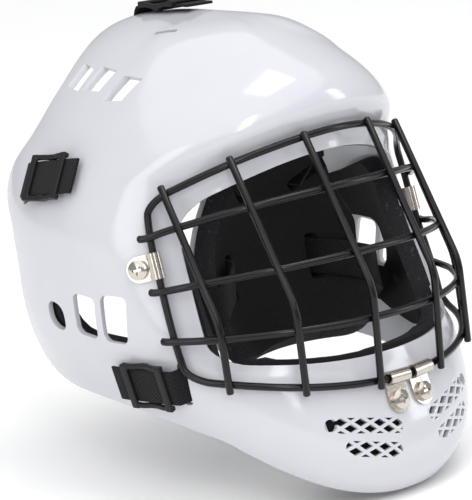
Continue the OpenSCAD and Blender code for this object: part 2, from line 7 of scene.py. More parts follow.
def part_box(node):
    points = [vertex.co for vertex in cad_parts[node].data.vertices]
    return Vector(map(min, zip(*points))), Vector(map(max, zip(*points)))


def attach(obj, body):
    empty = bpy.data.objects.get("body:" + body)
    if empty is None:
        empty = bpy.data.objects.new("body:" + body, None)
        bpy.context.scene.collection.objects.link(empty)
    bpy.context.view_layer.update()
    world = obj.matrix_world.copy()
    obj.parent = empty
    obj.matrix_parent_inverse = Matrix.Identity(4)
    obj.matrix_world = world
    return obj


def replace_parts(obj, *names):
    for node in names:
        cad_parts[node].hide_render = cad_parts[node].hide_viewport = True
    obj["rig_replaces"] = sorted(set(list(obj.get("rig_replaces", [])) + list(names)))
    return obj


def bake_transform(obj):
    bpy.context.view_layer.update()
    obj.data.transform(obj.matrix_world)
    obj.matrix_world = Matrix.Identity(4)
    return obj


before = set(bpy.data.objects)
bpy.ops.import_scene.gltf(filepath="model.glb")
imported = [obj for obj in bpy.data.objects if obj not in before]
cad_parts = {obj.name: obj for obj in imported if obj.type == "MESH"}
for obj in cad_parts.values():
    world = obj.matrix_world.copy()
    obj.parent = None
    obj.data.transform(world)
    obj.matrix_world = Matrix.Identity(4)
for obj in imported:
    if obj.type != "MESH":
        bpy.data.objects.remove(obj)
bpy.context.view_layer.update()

# ---------------------------------------------------------------------------
# Room: a wide pale floor, a soft ceiling light, four soft boxes round the mask
# and the camera in front and to the wearer's right, a little above the cage.
# ---------------------------------------------------------------------------
floor_gap, floor_size = 0.004, 14
floor_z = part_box("shell")[0].z - floor_gap
bpy.ops.object.select_all(action="DESELECT")
bpy.ops.mesh.primitive_plane_add(size=floor_size, location=(0, 0, floor_z))
floor = bpy.context.object
floor.name = "floor"
floor_paint = bpy.data.materials.new("pale floor")
floor_paint.use_nodes = True
floor_shader = floor_paint.node_tree.nodes["Principled BSDF"]
floor_shader.inputs["Base Color"].default_value = (0.98, 0.98, 0.98, 1)
floor_shader.inputs["Roughness"].default_value = 0.9
floor.data.materials.append(floor_paint)

world = bpy.data.worlds.new("soft room")
bpy.context.scene.world = world
world.use_nodes = True
world.node_tree.nodes["Background"].inputs["Color"].default_value = (0.97, 0.98, 1.0, 1)
world.node_tree.nodes["Background"].inputs["Strength"].default_value = 0.42


def soft_box(name, place, aim, width, height, watts):
    """A rectangular lamp turned to face aim."""
    data = bpy.data.lights.new(name, "AREA")
    data.shape = "RECTANGLE"
    data.size = width
    data.size_y = height
    data.energy = watts
    lamp = bpy.data.objects.new(name, data)
    bpy.context.scene.collection.objects.link(lamp)
    lamp.location = place
    lamp.rotation_euler = (Vector(aim) - Vector(place)).to_track_quat("-Z", "Y").to_euler()


sky_data = bpy.data.lights.new("ceiling", "SUN")
sky_data.energy = 1.9
sky_data.angle = math.radians(100)
sky = bpy.data.objects.new("ceiling", sky_data)
bpy.context.scene.collection.objects.link(sky)
sky.rotation_euler = (math.radians(12), math.radians(-10), 0)
soft_box("front box", (-1.0, -1.6, 1.0), (0, 0, 0.05), 0.35, 1.0, 6)
soft_box("wearer's right box", (-1.6, -0.2, 0.5), (0, 0, 0), 0.5, 1.0, 4)
soft_box("wearer's left box", (1.3, -1.3, 0.6), (0, 0, 0), 0.3, 1.0, 4)
soft_box("top box", (0.1, -0.3, 1.5), (0, 0, 0.1), 0.7, 0.5, 4)

camera_data = bpy.data.cameras.new("camera")
camera = bpy.data.objects.new("camera", camera_data)
bpy.context.scene.collection.objects.link(camera)
turn, lift, roll = math.radians(-42), math.radians(13), math.radians(-3.5)
camera_distance = 1.2
look_at = Vector((0.0053, -0.0048, 0.024))
away = Vector((math.sin(turn) * math.cos(lift), -math.cos(turn) * math.cos(lift), math.sin(lift)))
camera.location = look_at + camera_distance * away
camera.rotation_mode = "QUATERNION"
tilt = Matrix.Rotation(roll, 3, "Z").to_quaternion()
camera.rotation_quaternion = (-away).to_track_quat("-Z", "Y") @ tilt
camera_data.sensor_width = 36
camera_data.sensor_fit = "HORIZONTAL"
camera_data.lens = 160.2
bpy.context.scene.camera = camera
bpy.context.scene.view_settings.view_transform = "Standard"

# ---------------------------------------------------------------------------
# Bowl: one moulding of white plastic, 3 mm thick, with a gloss face, a ledge
# sunk round the face opening, a brow over it and a soft crease on the crown.
# ---------------------------------------------------------------------------
# height, front, back, half width, rear squareness, drop at the sides, middle, front squareness
stations = [
    (-97, -120, 60, 42, 2.2, -4, -60, 2.2),
    (-88, -140, 70, 62, 2.3, -8, -60, 2.3),
    (-72, -149, 95, 80, 2.4, -12, -50, 2.4),
    (-52, -146, 115, 94, 2.4, -14, -35, 2.4),
    (-28, -138, 125, 103, 2.3, -12, -20, 2.25),
    (0, -130, 128, 109, 2.25, -4, -8, 2.05),
    (35, -116, 128, 112, 2.2, 6, -2, 1.85),
    (70, -102, 126, 113, 2.2, 16, 2, 1.78),
    (100, -92, 116, 107, 2.2, 26, 4, 1.9),
    (118, -98, 103, 97, 2.15, 26, 4, 2.1),
    (134, -88, 92, 82, 2.1, 18, 4, 2.1),
    (150, -60, 74, 60, 2.05, 10, 4, 2.05),
    (159, -34, 50, 36, 2, 4, 4, 2),
    (162, 4, 6, 1, 2, 0, 5, 2),
]
top_row = len(stations) - 1
mm = 0.001


def ease(p0, p1, p2, p3, f):
    """A smooth cubic between p1 and p2, a share f of the way along."""
    return 0.5 * (2 * p1 + (p2 - p0) * f + (2 * p0 - 5 * p1 + 4 * p2 - p3) * f ** 2
                  + (3 * p1 - p0 - 3 * p2 + p3) * f ** 3)


def along_line(points, place, closed=False):
    """A point on the smooth line through points, place counted in points."""
    count = len(points)
    k = int(math.floor(place))
    if not closed:
        k = max(0, min(count - 2, k))
    near = [k + s for s in (-1, 0, 1, 2)]
    near = [points[i % count] if closed else points[max(0, min(count - 1, i))] for i in near]
    return [ease(*values, place - k) for values in zip(*near)]


def signed_power(value, power):
    return math.copysign(abs(value) ** power, value)


def face_of_bowl(around, row):
    """A point of the bowl's outer face, in mm: degrees round from the front, and row."""
    height, front, back, half, rear, drop, middle, fore = along_line(stations, row)
    square = fore if math.cos(math.radians(around)) > 0 else rear
    forward = signed_power(math.cos(math.radians(around)), 2 / square)
    side = signed_power(math.sin(math.radians(around)), 2 / square)
    reach = (front - middle) if forward > 0 else (middle - back)
    return Vector((max(half, 0.5) * side, middle + reach * forward, height - drop * side * side))


def step_round(around, row):
    return (face_of_bowl(around + 0.5, row) - face_of_bowl(around - 0.5, row)).normalized()


def step_up(around, row):
    low = min(row, top_row - 0.2)
    return (face_of_bowl(around, low + 0.1) - face_of_bowl(around, low - 0.1)).normalized()


def out_of_bowl(around, row):
    return step_round(around, row).cross(step_up(around, row)).normalized()


def on_bowl(around, row, out=0.0):
    """A point that stands out of the bowl's face by out mm, in metres."""
    return (face_of_bowl(around, row) + out_of_bowl(around, row) * out) * mm


def smooth_step(value):
    value = max(0.0, min(1.0, value))
    return value * value * (3 - 2 * value)


rim_side, rim_rows = 64, (4.12, 8.24)
side_pull, brow_dip = 0.103, 0.62


def shaped(around, row):
    """The face frame's shape: narrower at its top, with lower top corners."""
    up = (row - rim_rows[0]) / (rim_rows[1] - rim_rows[0])
    return around * (1 - side_pull * (1 - (1 - up) ** 2)), row - brow_dip * (around / rim_side) ** 2 * up


def unshaped(around, row):
    """Undoes shaped, near enough for the ledge."""
    a, r = around, row
    for _ in range(4):
        da, dr = shaped(a, r)
        a, r = a + around - da, r + row - dr
    return a, r


def rim_side_at(row):
    """How far round the rim's side lies at this row, in degrees."""
    up = (row - rim_rows[0]) / (rim_rows[1] - rim_rows[0] - brow_dip)
    return rim_side * (1 - side_pull * (1 - (1 - up) ** 2))


ledge_side, ledge_rows = 62.4, (4.2, 8.17)
crease_line = [(-84, 10.0), (-68, 10.2), (-54, 10.5), (-40, 10.7), (-30, 10.9), (-12, 11.3), (0, 11.6)]


def relief(around, row):
    """How far the moulded detail stands out of the plain bowl, in mm."""
    turn_mm, row_mm, corner = 2.0, 29.0, 15.0
    ledge_depth, ledge_slope, fold_height, fold_width = 2.2, 4.0, 1.3, 9
    half_w = ledge_side * turn_mm - corner
    flat_a, flat_r = unshaped(around, row) if 3 < row < 9.5 and abs(around) < 80 else (around, row)
    half_h = (ledge_rows[1] - ledge_rows[0]) / 2 * row_mm - corner
    dx = abs(flat_a) * turn_mm - half_w
    dz = abs(flat_r - sum(ledge_rows) / 2) * row_mm - half_h
    edge = math.hypot(max(dx, 0), max(dz, 0)) + min(max(dx, dz), 0) - corner
    sunk = -ledge_depth * smooth_step((-edge - 0.5) / ledge_slope)
    side = -abs(around)
    line_row = 11.6
    for (a0, r0), (a1, r1) in zip(crease_line, crease_line[1:]):
        if a0 <= side <= a1:
            line_row = r0 + (r1 - r0) * (side - a0) / (a1 - a0)
    if side < crease_line[0][0]:
        line_row = crease_line[0][1]
    fade = smooth_step((92 + side) / 20) * smooth_step((-side - 4) / 16)
    rise = smooth_step((row - line_row) * 26 / fold_width + 0.5)
    fold = fold_height * fade * rise * smooth_step((12.4 - row) / 0.8)
    return sunk + fold


columns, bands = 288, 150
bpy.ops.object.select_all(action="DESELECT")
bpy.ops.mesh.primitive_grid_add(x_subdivisions=columns, y_subdivisions=bands, size=2)
bowl = bpy.context.object
bowl.name = "bowl"
for v in bowl.data.vertices:
    around, row = v.co.x * 180, (v.co.y + 1) / 2 * (top_row - 0.06)
    v.co = on_bowl(around, row, relief(around, row))
bpy.ops.object.mode_set(mode="EDIT")
bpy.ops.mesh.select_all(action="SELECT")
bpy.ops.mesh.remove_doubles(threshold=0.00002)
bpy.ops.mesh.vertices_smooth(factor=0.5, repeat=6)
bpy.ops.object.mode_set(mode="OBJECT")


def boundary_loop(piece, low):
    """Selects a piece's open edge at its bottom (low) or at its top."""
    halfway = 0.05
    bpy.ops.object.mode_set(mode="EDIT")
    bpy.ops.mesh.select_mode(type="EDGE")
    bpy.ops.mesh.select_all(action="DESELECT")
    bpy.ops.mesh.select_non_manifold(
        extend=False, use_multi_face=False, use_non_contiguous=False, use_verts=False)
    bpy.ops.object.mode_set(mode="OBJECT")
    for e in piece.data.edges:
        height = piece.data.vertices[e.vertices[0]].co.z
        if (height < halfway) != low:
            e.select = False
            for i in e.vertices:
                piece.data.vertices[i].select = False


for low in (True, False):
    boundary_loop(bowl, low)
    bpy.ops.object.mode_set(mode="EDIT")
    bpy.ops.mesh.edge_face_add()
    bpy.ops.object.mode_set(mode="OBJECT")
bpy.ops.object.mode_set(mode="EDIT")
bpy.ops.mesh.select_mode(type="VERT")
bpy.ops.mesh.select_all(action="SELECT")
bpy.ops.mesh.normals_make_consistent(inside=False)
bpy.ops.object.mode_set(mode="OBJECT")


def only(piece):
    """Makes a piece the one thing selected and active."""
    bpy.ops.object.select_all(action="DESELECT")
    piece.select_set(True)
    bpy.context.view_layer.objects.active = piece


def finish_with(piece, kind, **settings):
    """Adds one modifier with these settings and applies it."""
    only(piece)
    modifier = piece.modifiers.new(kind.lower(), kind)
    for key, value in settings.items():
        setattr(modifier, key, value)
    bpy.ops.object.modifier_apply(modifier=modifier.name)


def set_down(piece):
    """Puts a piece's place into its mesh, so its object sits at the origin."""
    only(piece)
    bpy.ops.object.transform_apply(location=True, rotation=True, scale=True)


def join(pieces, name):
    """Joins pieces into the first one and names it."""
    only(pieces[0])
    for piece in pieces[1:]:
        piece.select_set(True)
    if len(pieces) > 1:
        bpy.ops.object.join()
    bpy.context.object.name = name
    return bpy.context.object


def cut(piece, cutter):
    """Takes a cutter's shape out of a piece and throws the cutter away."""
    finish_with(piece, "BOOLEAN", operation="DIFFERENCE", object=cutter, solver="MANIFOLD")
    bpy.data.objects.remove(cutter)


bowl_wall = 0.003
finish_with(bowl, "SOLIDIFY", thickness=bowl_wall, offset=-1)

# The bowl is trimmed to its edge line as seen from the side.
edge_line = [
    (-200, -130), (-175, -97), (-140, -85), (-111, -67), (-95, -57), (-80, -50), (-35, -43), (0, -41),
    (38, -40),
    (56, -33), (63, -18), (60, 4), (58, 40), (60, 53), (68, 61), (77, 70), (77, 79),
    (63, 100), (54, 122), (55, 140), (62, 156), (64, 175), (64, 220), (220, 220), (220, -130),
]
steps = 5
trim = [along_line(edge_line, k / steps) for k in range(steps, (len(edge_line) - 4) * steps + 1)]
trim += [edge_line[-3], edge_line[-2], edge_line[-1], edge_line[0]]
bpy.ops.object.select_all(action="DESELECT")
bpy.ops.mesh.primitive_circle_add(vertices=len(trim), radius=1, fill_type="NGON")
waste = bpy.context.object
for v, (y, z) in zip(waste.data.vertices, trim):
    v.co = (-0.15, y * mm, z * mm)
bpy.ops.object.mode_set(mode="EDIT")
bpy.ops.mesh.select_all(action="SELECT")
bpy.ops.mesh.extrude_region_move(TRANSFORM_OT_translate={"value": (0.3, 0, 0)})
bpy.ops.mesh.select_all(action="SELECT")
bpy.ops.mesh.quads_convert_to_tris()
bpy.ops.mesh.normals_make_consistent(inside=False)
bpy.ops.object.mode_set(mode="OBJECT")
cut(bowl, waste)


def corner_patch(side_a, side_b, low, high, round_a, round_r, steps=8):
    """A rounded rectangle of (around, row) pairs."""
    line = []
    for k in range(4):
        middle_a = side_b - round_a if k in (0, 3) else side_a + round_a
        middle_r = high - round_r if k < 2 else low + round_r
        for j in range(steps + 1):
            turn = math.radians(90 * k + 90 * j / steps)
            line.append((middle_a + round_a * math.cos(turn), middle_r + round_r * math.sin(turn)))
    return line


def filled(line, step_a, step_r):
    """The same outline with points added along its long sides."""
    out = []
    for p, q in zip(line, line[1:] + line[:1]):
        count = max(1, math.ceil(max(abs(q[0] - p[0]) / step_a, abs(q[1] - p[1]) / step_r)))
        out += [(p[0] + (q[0] - p[0]) * j / count, p[1] + (q[1] - p[1]) * j / count) for j in range(count)]
    return out


def ringed_disc(name, outline, rings, place):
    """A sheet inside an outline: rings of points from the middle out, each set by place."""
    count = len(outline)
    bpy.ops.object.select_all(action="DESELECT")
    bpy.ops.mesh.primitive_circle_add(vertices=count, radius=1, fill_type="NGON")
    sheet = bpy.context.object
    sheet.name = name
    bpy.ops.object.mode_set(mode="EDIT")
    bpy.ops.mesh.select_all(action="SELECT")
    for _ in range(rings - 1):
        bpy.ops.mesh.inset(thickness=1 / rings)
    bpy.ops.mesh.poke()
    bpy.ops.object.mode_set(mode="OBJECT")
    us, vs = [p[0] for p in outline], [p[1] for p in outline]
    middle = ((max(us) + min(us)) / 2, (max(vs) + min(vs)) / 2)
    for v in sheet.data.vertices:
        share = round(math.hypot(v.co.x, v.co.y) * rings) / rings
        k = round(math.atan2(v.co.y, v.co.x) / (2 * math.pi) * count) % count
        u, w = [m + (p - m) * share for m, p in zip(middle, outline[k])]
        v.co = place(u, w)
    return sheet


# The face opening, cut square to the wall all round.
opening = [shaped(*p) for p in filled(corner_patch(-56.5, 56.5, 4.62, 7.73, 11, 0.5), 3, 0.2)]
plug = ringed_disc("plug", opening, 10, lambda a, r: on_bowl(a, r))
finish_with(plug, "SOLIDIFY", thickness=0.03, offset=0)
cut(bowl, plug)


def frame_at(around, row, spin=0.0, out=0.0):
    """A frame on the bowl: x runs round to the wearer's left, z stands out of it."""
    x, z = step_round(around, row), out_of_bowl(around, row)
    y = z.cross(x)
    place = Matrix((x, y, z)).transposed().to_4x4()
    place.translation = on_bowl(around, row, out)
    return place @ Matrix.Rotation(math.radians(spin), 4, "Z")


def prism(name, shape, low, high, place, top_shape=None):
    """A straight or tapered block: a shape in mm drawn on the bowl, from low to high."""
    bpy.ops.object.select_all(action="DESELECT")
    bpy.ops.mesh.primitive_cylinder_add(vertices=len(shape), radius=1, depth=2)
    block = bpy.context.object
    block.name = name
    count = len(shape)
    for v in block.data.vertices:
        k = round(math.atan2(v.co.y, v.co.x) / (2 * math.pi) * count) % count
        x, y = (top_shape or shape)[k] if v.co.z > 0 else shape[k]
        v.co = place @ Vector((x * mm, y * mm, (high if v.co.z > 0 else low) * mm))
    return block


def obround(length, width):
    """A slot outline with round ends, lying along x."""
    steps = 8
    half = (length - width) / 2
    turns = [math.radians(-90 + 180 * j / steps) for j in range(steps + 1)]
    right = [(half + width / 2 * math.cos(t), width / 2 * math.sin(t)) for t in turns]
    return right + [(-x, -y) for x, y in right]


def rounded_box(width, height, corner):
    """A rectangle with round corners."""
    steps = 4
    out = []
    for k in range(4):
        cx = (width / 2 - corner) * (1 if k in (0, 3) else -1)
        cy = (height / 2 - corner) * (1 if k < 2 else -1)
        for j in range(steps + 1):
            t = math.radians(90 * k + 90 * j / steps)
            out.append((cx + corner * math.cos(t), cy + corner * math.sin(t)))
    return out


def mirrored(piece):
    """A copy on the other side of the mask, with its own mesh."""
    only(piece)
    bpy.ops.object.duplicate()
    twin = bpy.context.object
    for v in twin.data.vertices:
        v.co.x = -v.co.x
    bpy.ops.object.mode_set(mode="EDIT")
    bpy.ops.mesh.select_all(action="SELECT")
    bpy.ops.mesh.flip_normals()
    bpy.ops.object.mode_set(mode="OBJECT")
    return twin


# Vents: three by the ear, three and a slit on the crown, and two latticed rows on the chin.
cutters = []
for around, row, width, height, lean in (
        (-98.7, 5.13, 15.5, 16.5, -6), (-88.4, 5.3, 17, 24, -4), (-77.8, 5.33, 17, 26, 0)):
    shape = rounded_box(width, height, 4 if width > 16 else 6.5)
    cutters.append(prism("ear_vent", shape, -9, 9, frame_at(around, row, lean)))
for around, row, skew, lean in ((-110.1, 10.53, -1, 0), (-95.6, 10.62, 4, 0), (-80, 10.47, 7.5, -6)):
    corners = ((-1, -1), (1, -1), (1, 1), (-1, 1))
    inner = [(k * 4.5 - 0.5 + j * skew / 2 + (k < 0), j * 7.5) for k, j in corners]
    outer = [(k * 4.5 + j * skew / 2 - (k < 0) * 11, j * (7.5 + (k < 0))) for k, j in corners]
    cutters.append(prism("crown_vent", inner, -8, 5, frame_at(around, row, lean), outer))
cutters.append(prism("crown_slit", obround(15, 3.4), -9, 9, frame_at(-75.9, 11.92, 5)))

rib, cell_w, cell_h = 1.7, 11.5, 6.4
for around, row, length, lean in ((-14.8, 3.25, 42, -6.4), (-15.9, 2.67, 35, -7.5)):
    place = frame_at(around, row, lean)
    gap = 1 - rib / 2 / (cell_w * cell_h / 4 / math.hypot(cell_w / 2, cell_h / 2))
    cells = []
    for i in range(-8, 9):
        x = i * cell_w / 2
        for j in (-1, 0, 1):
            y = (j + (0.25 if i % 2 else -0.25)) * cell_h
            cells.append(prism("cell", [(gap * cell_w / 2 + x, y), (x, y + gap * cell_h / 2),
                                        (x - gap * cell_w / 2, y), (x, y - gap * cell_h / 2)], -6, 6, place))
    lattice = join(cells, "lattice")
    vent_row = prism("vent_row", obround(length, 8.4), -5, 5, place)
    finish_with(lattice, "BOOLEAN", operation="INTERSECT", solver="MANIFOLD", object=vent_row)
    bpy.data.objects.remove(vent_row)
    cutters.append(lattice)
place = frame_at(-14.8, 3.25, -6.4)
cutters.append(prism("oval", [(x - 22.5, y) for x, y in obround(7, 6.6)], -6, 6, place))

strap_places = {"top": (180, 12.42, -90), "upper": (-97.5, 8.4, 194), "lower": (-79.7, 3.76, 6)}
slot_at = {"top": 22, "upper": 23.1, "lower": 21.9}
slot_shape, slot_slope = rounded_box(5.2, 23.5, 2), math.radians(9)
for which in ("upper", "lower"):
    place = frame_at(*strap_places[which]) @ Matrix.Translation((slot_at[which] * mm, 0, 0))
    place = place @ Matrix.Rotation(slot_slope, 4, "Y")
    cutters.append(prism("strap_slot", slot_shape, -13, 9, place))
vents = cutters + [mirrored(c) for c in cutters]
place = frame_at(*strap_places["top"]) @ Matrix.Translation((slot_at["top"] * mm, 0, 0))
vents.append(prism("strap_slot", slot_shape, -13, 9, place))
for c in vents:
    cut(bowl, c)
finish_with(bowl, "BEVEL", width=0.0006, segments=2, limit_method="ANGLE", angle_limit=math.radians(50),
            use_clamp_overlap=True, harden_normals=False)
only(bowl)
bpy.ops.object.shade_smooth_by_angle(angle=math.radians(32))


def new_material(name):
    """A new material, with its node tree and its shader."""
    material = bpy.data.materials.new(name)
    material.use_nodes = True
    tree = material.node_tree
    return material, tree, tree.nodes["Principled BSDF"]


def add_node(tree, kind, **values):
    """Adds a node; each value sets the socket of that name, or else the setting."""
    node = tree.nodes.new(kind)
    for key, value in values.items():
        if key in node.inputs:
            node.inputs[key].default_value = value
        else:
            setattr(node, key, value)
    return node


def make_group(name, inputs, outputs):
    """An empty node group with these inputs and outputs."""
    group = bpy.data.node_groups.new(name, "ShaderNodeTree")
    for label, kind, value in inputs:
        socket = group.interface.new_socket(label, in_out="INPUT", socket_type=kind)
        socket.default_value = value
    for label, kind in outputs:
        group.interface.new_socket(label, in_out="OUTPUT", socket_type=kind)
    return group, group.nodes.new("NodeGroupInput"), group.nodes.new("NodeGroupOutput")


# Handling marks: soft cloudy dirt and fine scuffs, shared by the plastic and the metal.
marks, marks_in, marks_out = make_group(
    "handling marks",
    [("Size", "NodeSocketFloat", 30.0), ("Scuffs", "NodeSocketFloat", 0.5)],
    [("Clouds", "NodeSocketFloat"), ("Scratches", "NodeSocketFloat"), ("Height", "NodeSocketFloat")])
where = add_node(marks, "ShaderNodeTexCoord")
cloud = add_node(marks, "ShaderNodeTexNoise", Detail=4.0, Roughness=0.6)
marks.links.new(where.outputs["Object"], cloud.inputs["Vector"])
marks.links.new(marks_in.outputs["Size"], cloud.inputs["Scale"])
marks.links.new(cloud.outputs["Fac"], marks_out.inputs["Clouds"])
stretch = add_node(marks, "ShaderNodeMapping")
stretch.inputs["Scale"].default_value = (900, 60, 240)
stretch.inputs["Rotation"].default_value = (0.5, 0.3, 0.8)
marks.links.new(where.outputs["Object"], stretch.inputs["Vector"])
scuff = add_node(marks, "ShaderNodeTexNoise", Scale=1.0, Detail=2.0, Roughness=0.5)
marks.links.new(stretch.outputs["Vector"], scuff.inputs["Vector"])
thin = add_node(marks, "ShaderNodeMapRange")
thin.inputs["From Min"].default_value = 0.66
thin.inputs["From Max"].default_value = 0.74
marks.links.new(scuff.outputs["Fac"], thin.inputs["Value"])
share = add_node(marks, "ShaderNodeMath", operation="MULTIPLY")
marks.links.new(thin.outputs["Result"], share.inputs[0])
marks.links.new(marks_in.outputs["Scuffs"], share.inputs[1])
marks.links.new(share.outputs["Value"], marks_out.inputs["Scratches"])
peel = add_node(marks, "ShaderNodeTexNoise", Scale=420.0, Detail=1.0, Roughness=0.4)
marks.links.new(where.outputs["Object"], peel.inputs["Vector"])
marks.links.new(peel.outputs["Fac"], marks_out.inputs["Height"])


def gloss_plastic(name, colour, warm, rough):
    """White moulded plastic: a clear gloss with faint flow clouds and rubbed spots."""
    material, tree, shader = new_material(name)
    shader.inputs["Specular IOR Level"].default_value = 0.5
    shader.inputs["Coat Roughness"].default_value = 0.06
    shader.inputs["Coat Weight"].default_value = 0.35
    wear = add_node(tree, "ShaderNodeGroup", node_tree=marks)
    wear.inputs["Size"].default_value = 22.0
    wear.inputs["Scuffs"].default_value = 0.35
    tint = add_node(tree, "ShaderNodeMix", data_type="RGBA")
    tint.inputs["A"].default_value = (*colour, 1)
    tint.inputs["B"].default_value = (*warm, 1)
    tree.links.new(wear.outputs["Clouds"], tint.inputs["Factor"])
    tree.links.new(tint.outputs["Result"], shader.inputs["Base Color"])
    dull = add_node(tree, "ShaderNodeMapRange")
    dull.inputs["To Min"].default_value = rough
    dull.inputs["To Max"].default_value = rough + 0.25
    tree.links.new(wear.outputs["Scratches"], dull.inputs["Value"])
    tree.links.new(dull.outputs["Result"], shader.inputs["Roughness"])
    bump = add_node(tree, "ShaderNodeBump", Strength=0.05, Distance=0.0004)
    tree.links.new(wear.outputs["Height"], bump.inputs["Height"])
    tree.links.new(bump.outputs["Normal"], shader.inputs["Normal"])
    return material


white_plastic = gloss_plastic("white bowl plastic", (0.56, 0.565, 0.61), (0.60, 0.605, 0.64), 0.14)
bowl.data.materials.clear()
bowl.data.materials.append(white_plastic)
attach(bowl, "mask")
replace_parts(bowl, "shell")

# ---------------------------------------------------------------------------
# Cage: 4 mm steel wire, welded and powder-coated black. A closed rim lies on
# the bowl, three level wires run behind six bars that are bent below the eyes.
# ---------------------------------------------------------------------------
wire_r = 2.0
rim_out = 2.1 + wire_r
bar_out = rim_out + 0.9 * 2 * wire_r
bars_x = (-84, -58.5, -22, 22, 58.5, 84)


def wire(name, points, closed=False):
    """A round wire through points in metres, with rounded ends."""
    data = bpy.data.curves.new(name, "CURVE")
    data.dimensions = "3D"
    data.bevel_depth = wire_r * mm
    data.bevel_resolution = 6
    data.use_fill_caps = True
    line = data.splines.new("POLY")
    if not closed:
        nose = wire_r * 0.35 * mm
        first = points[0] + (points[0] - points[1]).normalized() * nose
        last = points[-1] + (points[-1] - points[-2]).normalized() * nose
        points = [first] + list(points) + [last]
    line.points.add(len(points) - 1)
    for p, q in zip(line.points, points):
        p.co = (*q, 1)
    if not closed:
        line.points[0].radius = line.points[-1].radius = 0.7
    line.use_cyclic_u = closed
    bar = bpy.data.objects.new(name, data)
    bpy.context.scene.collection.objects.link(bar)
    only(bar)
    bpy.ops.object.convert(target="MESH")
    bar = bpy.context.object
    bpy.ops.object.mode_set(mode="EDIT")
    bpy.ops.mesh.select_all(action="SELECT")
    bpy.ops.mesh.remove_doubles(threshold=0.000002)
    bpy.ops.mesh.normals_make_consistent(inside=False)
    bpy.ops.object.mode_set(mode="OBJECT")
    bpy.ops.object.shade_smooth_by_angle(angle=math.radians(50))
    return bar


def angle_for(x, row):
    """How far round the bowl a place x mm off its middle lies, in degrees."""
    half, square = along_line(stations, row)[3], along_line(stations, row)[7]
    return math.copysign(math.degrees(math.asin(min(1, (abs(x) / half) ** (square / 2)))), x)


def out_share(x):
    """0 at the middle and 1 at the outer bars."""
    return (x / bars_x[-1]) ** 2


def bar_top(x):
    around = angle_for(x, rim_rows[1] - brow_dip / 2)
    return on_bowl(around, rim_rows[1] - brow_dip * (around / (rim_side * (1 - side_pull))) ** 2, bar_out)


def bar_low(x):
    return on_bowl(angle_for(x, rim_rows[0]), rim_rows[0], bar_out)


def bar_bend(x):
    """Where a bar bends: its share of the way down, and its bow to the front."""
    share, bow = 0.6 + 0.07 * out_share(x), 16 - 7 * out_share(x)
    return bar_top(x) * (1 - share) + bar_low(x) * share - Vector((0, bow * mm, 0))


def bent_bar(x):
    """A bar's centreline: straight, one rounded bend, straight."""
    bend_reach, past_rim = 0.007, 0.004
    top, bend, low = bar_top(x), bar_bend(x), bar_low(x)
    up, down = (top - bend).normalized(), (low - bend).normalized()
    turn = [bend + (up * (1 - s) ** 2 + down * s ** 2) * bend_reach for s in [j / 8 for j in range(9)]]
    return [top + up * past_rim] + turn + [low + down * past_rim]


powder, tree, shader = new_material("black powder coat")
shader.inputs["Base Color"].default_value = (0.004, 0.004, 0.005, 1)
shader.inputs["Specular IOR Level"].default_value = 0.28
shader.inputs["Coat Weight"].default_value = 0.12
shader.inputs["Coat Roughness"].default_value = 0.05
where = add_node(tree, "ShaderNodeTexCoord")
grit = add_node(tree, "ShaderNodeTexNoise", Scale=900.0, Detail=2.0)
tree.links.new(where.outputs["Object"], grit.inputs["Vector"])
sheen = add_node(tree, "ShaderNodeMapRange")
sheen.inputs["To Min"].default_value = 0.16
sheen.inputs["To Max"].default_value = 0.28
tree.links.new(grit.outputs["Fac"], sheen.inputs["Value"])
tree.links.new(sheen.outputs["Result"], shader.inputs["Roughness"])
bump = add_node(tree, "ShaderNodeBump", Strength=0.04, Distance=0.0002)
tree.links.new(grit.outputs["Fac"], bump.inputs["Height"])
tree.links.new(bump.outputs["Normal"], shader.inputs["Normal"])

rim_line = [shaped(*p) for p in filled(corner_patch(-rim_side, rim_side, *rim_rows, 7, 0.35, 8), 3, 0.2)]
cage = {"cage_rim": wire("rim_wire", [on_bowl(a, r, rim_out) for a, r in rim_line], closed=True)}
sides = ("right_outer", "right_middle", "right_inner", "left_inner", "left_middle", "left_outer")
for side, x in zip(sides, bars_x):
    cage["cage_bar_" + side] = wire("bar_" + side, bent_bar(x))


def on_bar(x, share, upper):
    """A place on a bar: a share of the way down its upper or its lower leg."""
    share -= 0.065 * out_share(x)
    if upper:
        return bar_top(x) * (1 - share) + bar_bend(x) * share
    return bar_bend(x) * (1 - share) + bar_low(x) * share


behind = Vector((0, 0.0036, 0))
for level, row, share, upper in (
        ("upper", 6.9, 0.34, True), ("middle", 5.93, 0.77, True), ("lower", 5.04, 0.33, False)):
    crossings = [on_bar(x, share, upper) + behind for x in bars_x]
    tails = [on_bowl(s * (rim_side_at(row) + 2.5), row, bar_out - 0.4) for s in (-1, 1)]
    ends = [on_bowl(s * rim_side_at(row), row, bar_out) for s in (-1, 1)]
    stops = [tails[0], ends[0]] + crossings + [ends[1], tails[1]]
    line = [Vector(along_line(stops, k / 8)) for k in range((len(stops) - 1) * 8 + 1)]
    cage["cage_cross_wire_" + level] = wire("cross_wire_" + level, line)
for node, piece in cage.items():
    piece.data.materials.append(powder)
    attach(piece, "mask")
    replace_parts(piece, node)

